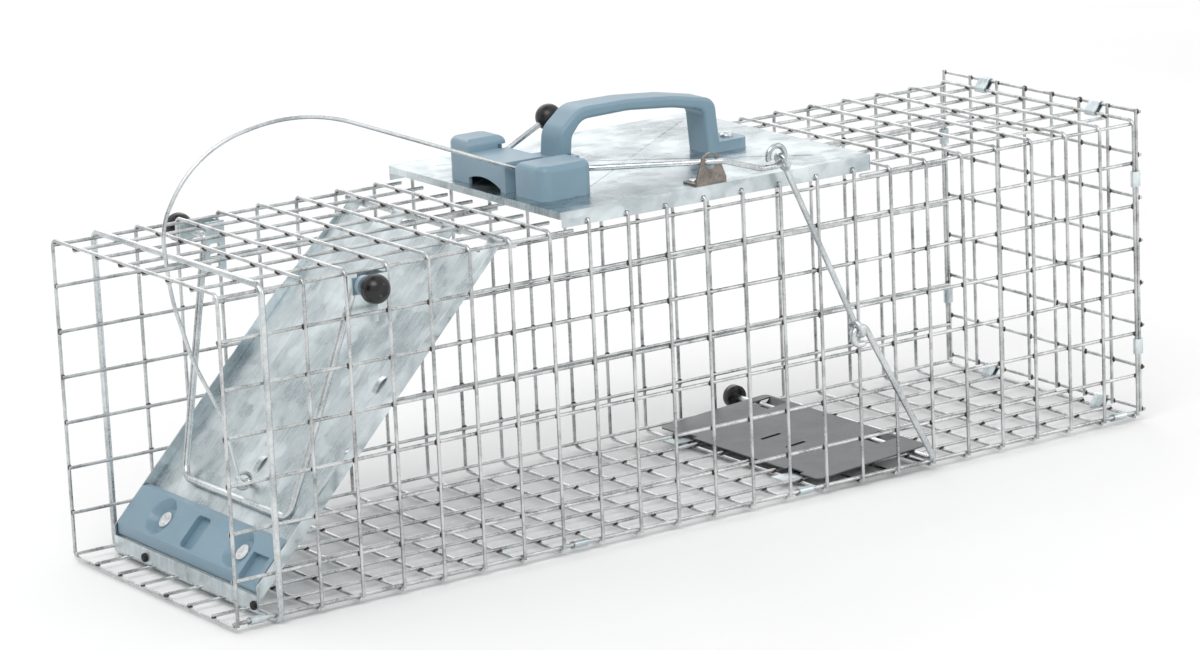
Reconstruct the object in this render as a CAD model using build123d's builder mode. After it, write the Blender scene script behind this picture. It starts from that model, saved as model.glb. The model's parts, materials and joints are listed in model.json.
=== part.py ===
from build123d import *
import math
import os

os.makedirs("parts", exist_ok=True)

# Live catch trap with one drop door. Millimetres.
# Origin: middle of the cage on the surface it stands on. +X towards the closed end,
# +Z up, the trip rod and link rod on the -Y side.

# ---- welded mesh ----
cell = 25.4              # mesh pitch
cells_long = 24
cells_wide = 7
cells_high = 7
wire_d = 2.0
hoop_d = 3.6             # heavy hoop round the mouth
weld_sink = 0.25         # how deep crossing wires melt into each other
bend_r = 3.75            # centre line of a bent mesh wire
hoop_bend_r = 6.0
hoop_index = 1           # the hoop takes this cross wire's place
seam_gap = 0.4           # between the two edge wires of the seam
# ---- top plate ----
plate_first = 9          # first and last cross wire that stops at the plate
plate_last = 16
plate_past_first = 17.0  # plate's front edge beyond the first of them
plate_past_last = 14.0
plate_t = 0.9
plate_rise = 8.6         # plate's upper face above the top cross wires' centre
plate_lip = 8.5
plate_end_lip = 4.0
lip_clear = 0.2          # between a lip and the upright wires outside it
# ---- door ----
hinge_rod_d = 4.0
hinge_x = -121.5
door_len = 233.0
door_half_w = 77.5
door_t = 0.9
door_flange = 6.5
door_rest_deg = 45.85    # slope of the closed door
knuckle_w = 12.0
pad_t = 6.0
pad_from = 197.0         # along the door, from the hinge
pad_to = 229.0
# ---- lock bar ----
lock_d = 4.0
lock_x = -219.6
lock_below_top = 8.8     # pivot below the top cross wires' centre
lock_low_y = (-62.0, 50.0)   # ends of the bottom run
lock_top_y = (-83.2, 74.0)   # top of each leg, inside the wall
lock_web_y = 80.0            # outer face of each bracket's web
lock_foot_down = 186.0   # where the bottom run lies, along the door
cap_d = 16.0
# ---- lever and lift wire ----
shaft_x = -70.0
shaft_d = 4.4
shaft_above_plate = 10.5
run_clear = 0.05         # running fit, radial
lift_d = 2.2
lift_slope = 0.105       # the lift wire runs this much inward for each mm forward
slot_y = -29.5           # middle of the housing's slot
staple_down = 176.0      # along the door, from the hinge
staple_d = 2.0
# ---- trip linkage ----
rod_d = 3.2
treadle_d = 3.6
outside_y = -96.5        # plane of the eye, the link and the arm
axle_x = 147.0
axle_z = 9.0
elbow_x = 97.0
elbow_z = 90.0
ear_x = 6.5
ear_y = -86.0
ear_hole_h = 12.5        # above the plate
# ---- handle ----
grip_y = -10.0           # middle of the handle and the housing
grip_w = 20.0

# ---- worked out ----
half_len = cells_long * cell / 2
half_wide = cells_wide * cell / 2
wire_step = wire_d - weld_sink               # centre distance of two crossing mesh wires
hoop_step = (wire_d + hoop_d) / 2 - weld_sink
floor_long_z = hoop_d + wire_d / 2 - weld_sink
floor_z = floor_long_z - wire_step           # cross wires under the long ones
top_z = floor_z + cells_high * cell
top_long_z = top_z - wire_step
side_long_y = half_wide - wire_step
corner = bend_r - (bend_r - wire_step) * math.sin(math.radians(45))
plate_z = top_z + plate_rise
plate_half_w = half_wide - wire_d / 2 - lip_clear
lip_in_y = plate_half_w - plate_t
plate_x0 = (plate_first - cells_long / 2) * cell - plate_past_first
plate_x1 = (plate_last - cells_long / 2) * cell + plate_past_last
wire_end_x = half_len + 0.8
hinge_z = top_long_z - (wire_d + hinge_rod_d) / 2 + weld_sink
lock_z = top_z - lock_below_top
shaft_z = plate_z + shaft_above_plate
ear_z = plate_z + ear_hole_h


def wire_x(index):
    return (index - cells_long / 2) * cell


def wire_y(index):
    return (index - cells_wide / 2) * cell


def side_z(index):
    return floor_z + index * cell


def bent_rod(points, radii, diameter):
    """Round rod along straight runs joined by arcs, in the current part."""
    with BuildLine() as path:
        FilletPolyline(*points, radius=radii)
    with BuildSketch(Plane(origin=path.line @ 0, z_dir=path.line % 0)) as profile:
        Circle(diameter / 2)
    sweep(profile.sketch, path=path.line)


def ring(plane, centre, radius, start_deg, turn_deg, diameter):
    """Round rod along an arc drawn on a plane, in the current part."""
    with BuildLine(plane) as path:
        CenterArc(centre, radius, start_deg, turn_deg)
    with BuildSketch(Plane(origin=path.line @ 0, z_dir=path.line % 0)) as profile:
        Circle(diameter / 2)
    sweep(profile.sketch, path=path.line)


def straight_rods(axis, places, start, end, diameter):
    """Parallel round rods along +X, +Y or +Z, in the current part."""
    turn = {"X": (0, 90, 0), "Y": (-90, 0, 0), "Z": (0, 0, 0)}[axis]
    low = (Align.CENTER, Align.CENTER, Align.MIN)
    with Locations(*[Location(place(start), turn) for place in places]):
        Cylinder(diameter / 2, end - start, align=low)


def finish(builder, name):
    builder.part.label = name
    export_step(builder.part, f"parts/{name}.step")


# =====================================================================
# cage: cross wires
# =====================================================================
seam_y = -side_long_y                         # lowest wire of the near wall
near_low_z = floor_long_z + 1.2
floor_edge_y = seam_y + wire_d + seam_gap
over = wire_d / 2 + 0.5                       # a mesh wire runs this far past its last crossing

full_loop_points = [
    (0, -half_wide, near_low_z - over), (0, -half_wide, top_z),
    (0, half_wide, top_z), (0, half_wide, floor_z), (0, floor_edge_y - over, floor_z),
]
with BuildPart() as full_loop:
    bent_rod(full_loop_points, bend_r, wire_d)

front_loops = [i for i in range(plate_first) if i != hoop_index]
rear_loops = list(range(plate_last + 1, cells_long + 1))

with BuildPart() as cross_wires_front:
    with Locations(*[(wire_x(i), 0, 0) for i in front_loops]):
        add(full_loop.part)
finish(cross_wires_front, "cross_wires_front")

with BuildPart() as cross_wires_rear:
    with Locations(*[(wire_x(i), 0, 0) for i in rear_loops]):
        add(full_loop.part)
finish(cross_wires_rear, "cross_wires_rear")

# beside the plate the wires stand outside its lips, with their ends turned in through holes
hook_z = plate_z - plate_lip + 2.4
hook_y = lip_in_y - 1.6
hook_bend = 1.6
beside_plate = range(plate_first, plate_last + 1)

with BuildPart() as near_upright:
    bent_rod([(0, -half_wide, near_low_z - over), (0, -half_wide, hook_z), (0, -hook_y, hook_z)],
             hook_bend, wire_d)
with BuildPart() as near_side_uprights:
    with Locations(*[(wire_x(i), 0, 0) for i in beside_plate]):
        add(near_upright.part)
finish(near_side_uprights, "near_side_uprights")

with BuildPart() as far_upright:
    bent_rod([(0, hook_y, hook_z), (0, half_wide, hook_z), (0, half_wide, floor_z),
              (0, floor_edge_y - over, floor_z)], [hook_bend, bend_r], wire_d)
with BuildPart() as far_side_floor_wires:
    with Locations(*[(wire_x(i), 0, 0) for i in beside_plate]):
        add(far_upright.part)
finish(far_side_floor_wires, "far_side_floor_wires")

# =====================================================================
# cage: long wires, inside the cross wires
# =====================================================================
with BuildPart() as near_long_wires:
    spots = [(-side_long_y, side_z(k)) for k in range(1, cells_high)] + [(seam_y, near_low_z)]
    straight_rods("X", [lambda x, s=s: (x, s[0], s[1]) for s in spots], -wire_end_x, wire_end_x, wire_d)
finish(near_long_wires, "near_long_wires")

with BuildPart() as far_long_wires:
    spots = [(side_long_y, side_z(k)) for k in range(1, cells_high)]
    straight_rods("X", [lambda x, s=s: (x, s[0], s[1]) for s in spots], -wire_end_x, wire_end_x, wire_d)
finish(far_long_wires, "far_long_wires")

with BuildPart() as floor_long_wires:
    spots = [(wire_y(j), floor_long_z) for j in range(1, cells_wide)]
    spots += [(floor_edge_y, floor_long_z), (half_wide - corner, floor_z + corner)]
    straight_rods("X", [lambda x, s=s: (x, s[0], s[1]) for s in spots], -wire_end_x, wire_end_x, wire_d)
finish(floor_long_wires, "floor_long_wires")

top_spots = [(wire_y(j), top_long_z) for j in range(1, cells_wide)]
top_spots += [(side * (half_wide - corner), top_z - corner) for side in (-1, 1)]
under_plate = 8.0                             # top wires end this far under the plate

with BuildPart() as top_long_wires_front:
    straight_rods("X", [lambda x, s=s: (x, s[0], s[1]) for s in top_spots],
                  -wire_end_x, plate_x0 + under_plate, wire_d)
finish(top_long_wires_front, "top_long_wires_front")

with BuildPart() as top_long_wires_rear:
    straight_rods("X", [lambda x, s=s: (x, s[0], s[1]) for s in top_spots],
                  plate_x1 - under_plate, wire_end_x, wire_d)
finish(top_long_wires_rear, "top_long_wires_rear")

# =====================================================================
# cage: end panel, a flat piece of the same mesh
# =====================================================================
panel_up = 5.0
panel_x = wire_x(cells_long) + wire_d + 0.15
panel_low = floor_z + panel_up

with BuildPart() as end_panel_uprights:
    straight_rods("Z", [lambda z, j=j: (panel_x, wire_y(j), z) for j in range(cells_wide + 1)],
                  panel_low - over, panel_low + cells_high * cell + over, wire_d)
finish(end_panel_uprights, "end_panel_uprights")

with BuildPart() as end_panel_cross_wires:
    straight_rods("Y", [lambda y, k=k: (panel_x + wire_step, y, panel_low + k * cell)
                        for k in range(cells_high + 1)],
                  -half_wide - over, half_wide + over, wire_d)
finish(end_panel_cross_wires, "end_panel_cross_wires")

# =====================================================================
# clips: a strip of thin sheet closed round two wires
# =====================================================================
clip_t = 0.8
clip_w = 9.0
clip_room = 0.25


def clip_on(plane, span, reach, width):
    """Closed strip round two parallel wires; the wires run along the plane's normal."""
    inner = wire_d + 2 * clip_room
    with BuildSketch(plane) as strip:
        SlotOverall(span + reach, inner + 2 * clip_t)
        SlotOverall(span + reach - 2 * clip_t, inner, mode=Mode.SUBTRACT)
    extrude(strip.sketch, amount=width / 2, both=True)


pair_span = wire_d + seam_gap
seam_reach = wire_d + 2 * clip_room + 2 * clip_t
seam_mid_y = (seam_y + floor_edge_y) / 2
seam_mid_z = (near_low_z + floor_long_z) / 2
seam_tilt = math.degrees(math.atan2(floor_long_z - near_low_z, floor_edge_y - seam_y))
with BuildPart() as seam_clips:
    for clip_x in (-292.0, -90.0, 62.0, 292.0):
        clip_plane = Plane(origin=(clip_x, seam_mid_y, seam_mid_z),
                           x_dir=(0, math.cos(math.radians(seam_tilt)), math.sin(math.radians(seam_tilt))),
                           z_dir=(1, 0, 0))
        clip_on(clip_plane, pair_span, seam_reach, clip_w)
finish(seam_clips, "seam_clips")

# each clip holds an edge wire of the panel to the last loop of the cage
last_x = wire_x(cells_long)
with BuildPart() as end_panel_clips:
    for clip_y in (-52.0, 50.0):
        for body_z, panel_z in ((floor_z, panel_low), (top_z, panel_low + cells_high * cell)):
            dx = panel_x + wire_step - last_x
            dz = panel_z - body_z
            edge_plane = Plane(origin=((last_x + panel_x + wire_step) / 2, clip_y, (body_z + panel_z) / 2),
                               x_dir=(dx, 0, dz), z_dir=(0, 1, 0))
            clip_on(edge_plane, math.hypot(dx, dz), seam_reach, clip_w)
    for clip_z in (46.0, 146.0):
        for side in (-1, 1):
            wall_plane = Plane(origin=((last_x + panel_x) / 2, side * half_wide, clip_z),
                               x_dir=(1, 0, 0), z_dir=(0, 0, 1))
            clip_on(wall_plane, panel_x - last_x, seam_reach, clip_w)
finish(end_panel_clips, "end_panel_clips")

# =====================================================================
# door frame hoop: heavy rod round the mouth, outside the long wires
# =====================================================================
hoop_y = side_long_y + hoop_step
hoop_low = floor_long_z - hoop_step
hoop_high = top_long_z + hoop_step
with BuildPart() as door_frame_hoop:
    bent_rod([(wire_x(hoop_index), 0, hoop_low), (wire_x(hoop_index), -hoop_y, hoop_low),
              (wire_x(hoop_index), -hoop_y, hoop_high), (wire_x(hoop_index), hoop_y, hoop_high),
              (wire_x(hoop_index), hoop_y, hoop_low), (wire_x(hoop_index), 0.6, hoop_low)],
             hoop_bend_r, hoop_d)
finish(door_frame_hoop, "door_frame_hoop")

# =====================================================================
# top plate: shallow tray turned over, its lips just inside the upright wires
# =====================================================================
plate_len = plate_x1 - plate_x0
plate_mid = (plate_x0 + plate_x1) / 2
hook_hole_d = wire_d + 0.8
crease_depth = 0.15
crease_w = 1.6

with BuildPart() as top_plate:
    with BuildSketch(Plane.XY.offset(plate_z - plate_lip)):
        with Locations((plate_mid, 0)):
            RectangleRounded(plate_len, 2 * plate_half_w, 3.0)
    extrude(amount=plate_lip)
    with BuildSketch(Plane.XY.offset(plate_z - plate_lip)):
        with Locations((plate_mid, 0)):
            RectangleRounded(plate_len - 2 * plate_t, 2 * lip_in_y, 3.0 - plate_t)
    extrude(amount=plate_lip - plate_t, mode=Mode.SUBTRACT)
    # the end lips are shorter than the side lips
    end_cut = plate_lip - plate_end_lip
    with Locations((plate_x0, 0, plate_z - plate_lip), (plate_x1, 0, plate_z - plate_lip)):
        Box(16.0, 2 * lip_in_y, 2 * end_cut, mode=Mode.SUBTRACT)
    # holes in the side lips for the ends of the upright wires
    with Locations(*[Location((wire_x(i), 0, hook_z), (90, 0, 0)) for i in beside_plate]):
        Cylinder(hook_hole_d / 2, 2 * plate_half_w + 2, mode=Mode.SUBTRACT)
    # pressed cross-break creases that stiffen the sheet
    crease_deg = math.degrees(math.atan2(2 * plate_half_w - 40, plate_len - 40))
    crease_len = math.hypot(2 * plate_half_w - 40, plate_len - 40)
    for turn in (crease_deg, -crease_deg):
        with BuildSketch(Plane.XY.offset(plate_z)) as crease:
            with Locations(Location((plate_mid, 0), turn)):
                SlotOverall(crease_len, crease_w)
        extrude(crease.sketch, amount=-crease_depth, mode=Mode.SUBTRACT)
finish(top_plate, "top_plate")

# =====================================================================
# ear that carries the trip rod: an L bracket riveted to the plate
# =====================================================================
ear_t = 1.2
ear_w = 20.0
ear_h = 17.5
ear_foot = 13.0
ear_hole_r = rod_d / 2 + 2.4                  # the rod crosses it at a slant
rivet_hole_d = 3.2
ear_rivet_y = ear_y + 8.5

with BuildPart() as trip_rod_ear:
    with BuildSketch(Plane.XZ.offset(-ear_y - ear_t / 2)):
        with BuildLine():
            Polyline((ear_x - ear_w / 2, plate_z), (ear_x + ear_w / 2, plate_z),
                     (ear_x + ear_w / 2, plate_z + 3.0), (ear_x + 5.4, plate_z + ear_h - 2.6))
            ThreePointArc((ear_x + 5.4, plate_z + ear_h - 2.6), (ear_x, plate_z + ear_h),
                          (ear_x - 5.4, plate_z + ear_h - 2.6))
            Polyline((ear_x - 5.4, plate_z + ear_h - 2.6), (ear_x - ear_w / 2, plate_z + 3.0),
                     (ear_x - ear_w / 2, plate_z))
        make_face()
    extrude(amount=ear_t)
    with BuildSketch(Plane.XY.offset(plate_z)):
        with Locations((ear_x, ear_y + ear_foot / 2)):
            RectangleRounded(ear_w, ear_foot, 1.5)
        with Locations((ear_x - 5.5, ear_rivet_y), (ear_x + 5.5, ear_rivet_y)):
            Circle(rivet_hole_d / 2, mode=Mode.SUBTRACT)
    extrude(amount=ear_t)
    with Locations(Location((ear_x, ear_y, ear_z), (90, 0, 0))):
        Cylinder(ear_hole_r, 6 * ear_t, mode=Mode.SUBTRACT)
finish(trip_rod_ear, "trip_rod_ear")

# =====================================================================
# carry handle: moulded loop, one foot on the housing, one on the plate
# =====================================================================
saddle_top = plate_z + 14.0
handle_left = -48.0
handle_right = 61.5
grip_top = plate_z + 39.0
leg_t = 9.0
grip_t = 6.5
foot_len = 19.0
foot_t = 6.0
screw_d = 4.0
screw_x = handle_right + foot_len / 2 + 1.0

outer_path = [(handle_left, saddle_top - 1.0), (handle_left + 1.5, grip_top - 12.0),
              (handle_left + 16.0, grip_top), (0.0, grip_top), (30.0, grip_top - 2.6),
              (handle_right - 3.0, grip_top - 8.0), (handle_right, plate_z)]
with BuildPart() as carry_handle:
    with BuildSketch(Plane.XZ.offset(-grip_y)) as loop_outline:
        with BuildLine():
            outer = FilletPolyline(*outer_path, radius=[12.0, 14.0, 60.0, 60.0, 8.0])
            Line(outer @ 1, (handle_right - leg_t, plate_z))
            inner = FilletPolyline((handle_right - leg_t, plate_z),
                                   (handle_right - leg_t - 2.0, grip_top - 7.2 - grip_t),
                                   (30.0, grip_top - 2.8 - grip_t), (0.0, grip_top - grip_t),
                                   (handle_left + 17.0, grip_top - grip_t - 0.6),
                                   (handle_left + leg_t + 0.8, grip_top - grip_t - 9.0),
                                   (handle_left + leg_t, saddle_top - 1.0),
                                   radius=[6.0, 60.0, 60.0, 10.0, 8.0])
            Line(inner @ 1, outer @ 0)
        make_face()
    extrude(loop_outline.sketch, amount=grip_w / 2, both=True)
    with BuildSketch(Plane.XY.offset(plate_z)) as foot:
        with Locations((handle_right + foot_len / 2 - 3.0, grip_y)):
            RectangleRounded(foot_len + 6.0, grip_w, 5.0)
    extrude(foot.sketch, amount=foot_t)
    # soft edges along the loop
    long_edges = carry_handle.edges().filter_by(
        lambda e: abs(abs(e.center().Y - grip_y) - grip_w / 2) < 0.01
        and e.center().Z > plate_z + foot_t + 1.0 and e.center().Z < grip_top + 1.0)
    fillet(long_edges, 2.2)
    with Locations((screw_x, grip_y, plate_z)):
        Cylinder(screw_d / 2 + 0.2, 3 * foot_t, mode=Mode.SUBTRACT)
finish(carry_handle, "carry_handle")

# =====================================================================
# lever housing: moulded cover on the plate, open underneath
# =====================================================================
wall = 2.2
house_x0 = shaft_x - 17.0                     # front faces
block_x1 = shaft_x + 18.0
block_y0 = grip_y - 50.0                      # near block
block_y1 = slot_y - 4.5
block_top = plate_z + 19.0
saddle_x1 = shaft_x + 8.0                     # rear face beside the lever
saddle_y0 = slot_y + 4.5
saddle_y1 = grip_y + 44.0
lobe_y0 = grip_y + 22.0                       # raised far end of the saddle
lobe_top = plate_z + 24.0
tail_y0 = grip_y - 12.0                       # tail that the handle stands on
tail_y1 = grip_y + 12.0
tail_x1 = handle_left + leg_t + 3.0
lever_y = grip_y + 23.0
bore_r = shaft_d / 2 + run_clear
shaft_y0 = block_y1 - 13.0
shaft_y1 = lever_y + 5.0


def box_between(x0, x1, y0, y1, z0, z1, mode=Mode.ADD):
    with Locations(((x0 + x1) / 2, (y0 + y1) / 2, (z0 + z1) / 2)):
        Box(x1 - x0, y1 - y0, z1 - z0, mode=mode)


with BuildPart() as near_block:
    box_between(house_x0 + 1.0, block_x1, block_y0, block_y1, plate_z, block_top)
    near_corners = near_block.edges().filter_by(Axis.Z).group_by(Axis.Y)[0]
    fillet(near_corners, 7.0)
    fillet(near_block.faces().sort_by(Axis.Z)[-1].edges(), 4.0)
    box_between(house_x0 + 1.0 + wall, block_x1 - wall, block_y0 + wall, block_y1 - wall,
                plate_z - 1.0, block_top - wall, Mode.SUBTRACT)

with BuildPart() as far_saddle:
    box_between(house_x0, saddle_x1, saddle_y0, saddle_y1, plate_z, saddle_top + 3.0)
    box_between(house_x0, saddle_x1, lobe_y0, saddle_y1, plate_z, lobe_top)
    far_corners = far_saddle.edges().filter_by(Axis.Z).group_by(Axis.Y)[-1]
    fillet(far_corners, 7.0)
    fillet(far_saddle.faces().sort_by(Axis.Z)[-1].edges(), 4.0)
    box_between(house_x0 + wall, saddle_x1 - wall, saddle_y0 + wall, saddle_y1 - wall,
                plate_z - 1.0, saddle_top + 3.0 - wall, Mode.SUBTRACT)
    # arch under the front face
    with BuildSketch(Plane.YZ.offset(house_x0 - 1.0)) as arch:
        with BuildLine():
            Polyline((saddle_y0 + 5.0, plate_z - 1.0), (saddle_y0 + 5.0, plate_z + 1.5))
            ThreePointArc((saddle_y0 + 5.0, plate_z + 1.5), (grip_y + 4.0, plate_z + 5.6),
                          (grip_y + 22.0, plate_z + 3.4))
            Polyline((grip_y + 22.0, plate_z + 3.4), (grip_y + 22.0, plate_z - 1.0),
                     (saddle_y0 + 5.0, plate_z - 1.0))
        make_face()
    extrude(arch.sketch, amount=wall + 1.5, mode=Mode.SUBTRACT)

with BuildPart() as lever_housing:
    add(near_block.part)
    add(far_saddle.part)
    # tail under the handle and the web that closes the slot behind the shaft
    box_between(saddle_x1 - wall, tail_x1, tail_y0, tail_y1, plate_z, saddle_top - 1.0)
    box_between(saddle_x1 - wall, block_x1 - 1.0, block_y1 - wall, tail_y0 + 2.0, plate_z,
                saddle_top - 3.0)
    # shaft bore, through every wall it crosses
    with Locations(Location((shaft_x, (shaft_y0 + shaft_y1) / 2, shaft_z), (90, 0, 0))):
        Cylinder(bore_r, shaft_y1 - shaft_y0 + 2.0, mode=Mode.SUBTRACT)
    # slot for the lever in the rear wall, and for the trip rod in the block's rear wall
    box_between(saddle_x1 - wall - 2.8, saddle_x1 + 1.0, lever_y - 2.6, lever_y + 2.6,
                shaft_z - 5.0, lobe_top - 5.0, Mode.SUBTRACT)
    box_between(block_x1 - wall - 1.0, block_x1 + 1.0, grip_y - 37.0, grip_y - 27.5,
                plate_z + 5.0, plate_z + 15.0, Mode.SUBTRACT)
finish(lever_housing, "lever_housing")

with BuildPart() as handle_screw:
    with Locations((screw_x, grip_y, plate_z + foot_t)):
        Cylinder(3.8, 1.8, align=(Align.CENTER, Align.CENTER, Align.MIN))
    fillet(handle_screw.faces().sort_by(Axis.Z)[-1].edges(), 1.2)
    with Locations((screw_x, grip_y, plate_z)):
        Cylinder(screw_d / 2, foot_t + 0.4, align=(Align.CENTER, Align.CENTER, Align.MIN))
    with Locations((screw_x, grip_y, plate_z + foot_t + 1.8)):
        Box(4.4, 0.9, 1.6, mode=Mode.SUBTRACT)
        Box(0.9, 4.4, 1.6, mode=Mode.SUBTRACT)
finish(handle_screw, "handle_screw")

with BuildPart() as ear_rivets:
    with Locations((ear_x - 5.5, ear_rivet_y, plate_z + ear_t), (ear_x + 5.5, ear_rivet_y, plate_z + ear_t)):
        Cylinder(2.6, 1.3, align=(Align.CENTER, Align.CENTER, Align.MIN))
    fillet(ear_rivets.faces().group_by(Axis.Z)[-1].edges(), 0.9)
    with Locations((ear_x - 5.5, ear_rivet_y, plate_z), (ear_x + 5.5, ear_rivet_y, plate_z)):
        Cylinder(rivet_hole_d / 2 - 0.1, 1.6, align=(Align.CENTER, Align.CENTER, Align.MIN))
finish(ear_rivets, "ear_rivets")

# =====================================================================
# door: sheet with turned-up side flanges, knuckles rolled round the hinge rod
# =====================================================================
door_cos = math.cos(math.radians(door_rest_deg))
door_sin = math.sin(math.radians(door_rest_deg))
# on this plane x runs along +Y, y down the door from the hinge, z out of its upper face
door_plane = Plane(origin=(hinge_x, 0, hinge_z), x_dir=(0, 1, 0), z_dir=(-door_sin, 0, door_cos))
knuckle_in = hinge_rod_d / 2 + 0.08
knuckle_out = knuckle_in + door_t
face_h = knuckle_out                          # the sheet leaves the knuckles' upper side
sheet_in = face_h - door_t
knuckle_edge = 6.3                            # outer knuckle's middle, in from the sheet's edge
knuckle_out_y = door_half_w - knuckle_edge
knuckle_at = [-knuckle_out_y, -cell, cell, knuckle_out_y]
sheet_from = 11.0
flange_full = 75.0                            # the flanges grow to full height over this length
lip_t = door_t
lip_x = hinge_x - door_len * door_cos - face_h * door_sin - 0.3
lip_z0 = floor_long_z + wire_d / 2 + 0.45
lip_h = 8.4
bumper_d = 5.0
bumper_z = lip_z0 + 2.8
bumper_y = (43.0, -74.0)
bumper_stem_d = 2.4
pad_rivet_down = (pad_from + pad_to) / 2 - 1.0
pad_rivet_y = 41.5
pad_rivet_d = 4.0


def on_door(across, down, out):
    return door_plane.from_local_coords(Vector(across, down, out))


def door_side(y):
    """Sketch plane across the door: x down the door, y out of its upper face."""
    return Plane(origin=(hinge_x, y, hinge_z), x_dir=(-door_cos, 0, -door_sin), z_dir=(0, 1, 0))


with BuildPart() as door_panel:
    with BuildSketch(door_plane.offset(sheet_in)) as sheet:
        with Locations((0, (sheet_from + door_len) / 2)):
            Rectangle(2 * door_half_w, door_len - sheet_from)
        for y in knuckle_at:
            with Locations((y, (sheet_from + 1.0) / 2)):
                Rectangle(knuckle_w, sheet_from + 1.0)
        with Locations((11.0 - door_half_w, door_len * 0.60)):
            Circle(2.0, mode=Mode.SUBTRACT)
        with Locations((-pad_rivet_y, pad_rivet_down), (pad_rivet_y, pad_rivet_down)):
            Circle(pad_rivet_d / 2 + 0.1, mode=Mode.SUBTRACT)
    extrude(sheet.sketch, amount=door_t)
    for y in (-door_half_w, door_half_w - door_t):
        with BuildSketch(door_side(y)) as flange:
            with BuildLine():
                Polyline((sheet_from, sheet_in), (sheet_from, sheet_in + 2.5),
                         (flange_full, sheet_in + door_flange), (door_len - 6.0, sheet_in + door_flange),
                         (door_len - 1.0, sheet_in + door_flange - 5.0), (door_len - 1.0, sheet_in),
                         (sheet_from, sheet_in))
            make_face()
        extrude(flange.sketch, amount=door_t)
    # lip along the bottom edge, upright when the door is shut
    box_between(lip_x, lip_x + lip_t, -door_half_w, door_half_w, lip_z0, lip_z0 + lip_h)
    for y in bumper_y:
        with Locations(Location((lip_x, y, bumper_z), (0, 90, 0))):
            Cylinder(bumper_stem_d / 2, 6 * lip_t, mode=Mode.SUBTRACT)
    for y in knuckle_at:
        with BuildSketch(door_side(y - knuckle_w / 2)) as knuckle:
            Circle(knuckle_out)
        extrude(knuckle.sketch, amount=knuckle_w)
    for y in knuckle_at:
        with BuildSketch(door_side(y - knuckle_w / 2 - 1.0)) as bore:
            Circle(knuckle_in)
        extrude(bore.sketch, amount=knuckle_w + 2.0, mode=Mode.SUBTRACT)
finish(door_panel, "door_panel")

# moulded pad on the door's lower end, with two cups and two pockets
pad_half_w = door_half_w - door_t - 0.6
pad_top = face_h + pad_t
cup_d = 23.0
cup_floor = pad_top - pad_t + 1.6
pocket_depth = 3.6
pad_bevel = 3.0
pad_low_bevel = 4.6


def pad_spots():
    return [Plane(origin=on_door(y, pad_rivet_down, cup_floor), x_dir=(0, 1, 0), z_dir=door_plane.z_dir)
            for y in (-pad_rivet_y, pad_rivet_y)]


with BuildPart() as door_pad:
    with BuildSketch(door_side(-pad_half_w)) as pad_section:
        with BuildLine():
            Polyline((pad_from, face_h), (pad_from, pad_top - pad_bevel), (pad_from + pad_bevel, pad_top),
                     (pad_to - pad_low_bevel, pad_top), (pad_to, pad_top - pad_low_bevel), (pad_to, face_h),
                     (pad_from, face_h))
        make_face()
    extrude(pad_section.sketch, amount=2 * pad_half_w)
    with Locations(*pad_spots()):
        Cone(cup_d / 2 - 4.0, cup_d / 2, pad_top - cup_floor,
             align=(Align.CENTER, Align.CENTER, Align.MIN), mode=Mode.SUBTRACT)
        Cylinder(pad_rivet_d / 2 + 0.1, 3 * pad_t, mode=Mode.SUBTRACT)
    with BuildSketch(door_plane.offset(pad_top)) as pockets:
        with Locations((3.0, (pad_from + pad_to) / 2)):
            RectangleRounded(14.0, 20.0, 3.0)
        with Locations((-64.0, pad_to - 8.0)):
            Rectangle(16.0, 22.0)
    extrude(pockets.sketch, amount=-pocket_depth, mode=Mode.SUBTRACT)
finish(door_pad, "door_pad")

with BuildPart() as pad_rivets:
    with Locations(*pad_spots()):
        Cylinder(4.6, 1.2, align=(Align.CENTER, Align.CENTER, Align.MIN))
        Cylinder(pad_rivet_d / 2, cup_floor - sheet_in, align=(Align.CENTER, Align.CENTER, Align.MAX))
finish(pad_rivets, "pad_rivets")

# rubber bumpers pressed through the lip
with BuildPart() as door_bumpers:
    for y in bumper_y:
        with Locations(Location((lip_x, y, bumper_z), (0, -90, 0))):
            Cylinder(bumper_d / 2, 1.6, align=(Align.CENTER, Align.CENTER, Align.MIN))
            Cylinder(bumper_stem_d / 2, lip_t + 0.6, align=(Align.CENTER, Align.CENTER, Align.MAX))
    fillet(door_bumpers.faces().group_by(Axis.X)[0].edges(), 1.0)
finish(door_bumpers, "door_bumpers")

# wire staple that the lift wire pulls on
lift_ring_r = 4.3
staple_h = face_h + 7.5
staple_half_w = 4.0
staple_at = on_door(0, staple_down, staple_h)
staple_y = slot_y + lift_slope * (shaft_x - staple_at.X)

with BuildPart() as lift_staple:
    near_leg = staple_y - staple_half_w
    far_leg = staple_y + staple_half_w
    bent_rod([on_door(near_leg, staple_down, face_h), on_door(near_leg, staple_down, staple_h),
              on_door(far_leg, staple_down, staple_h), on_door(far_leg, staple_down, face_h)],
             1.4, staple_d)
finish(lift_staple, "lift_staple")

# =====================================================================
# hinge rod, welded under the long wires of the top
# =====================================================================
hinge_rod_end = side_long_y - wire_d / 2 - 1.6

with BuildPart() as door_hinge_rod:
    straight_rods("Y", [lambda y: (hinge_x, y, hinge_z)], -hinge_rod_end, hinge_rod_end, hinge_rod_d)
finish(door_hinge_rod, "door_hinge_rod")

# =====================================================================
# lock bar: U of rod that hangs from two side brackets and drops on to the door
# =====================================================================
lock_foot = on_door(0, lock_foot_down, face_h + lock_d / 2 + 0.35)
strap_y0 = half_wide + wire_d / 2 + 0.5       # outer strap of each bracket
bracket_t = 1.0
bush_y0 = strap_y0 + bracket_t + 0.1
bush_w = 3.4
bush_d = 11.0
ball_y = bush_y0 + bush_w + 0.3 + cap_d / 2
pin_end_y = ball_y + 3.0
pin_bore_r = lock_d / 2 + run_clear

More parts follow.
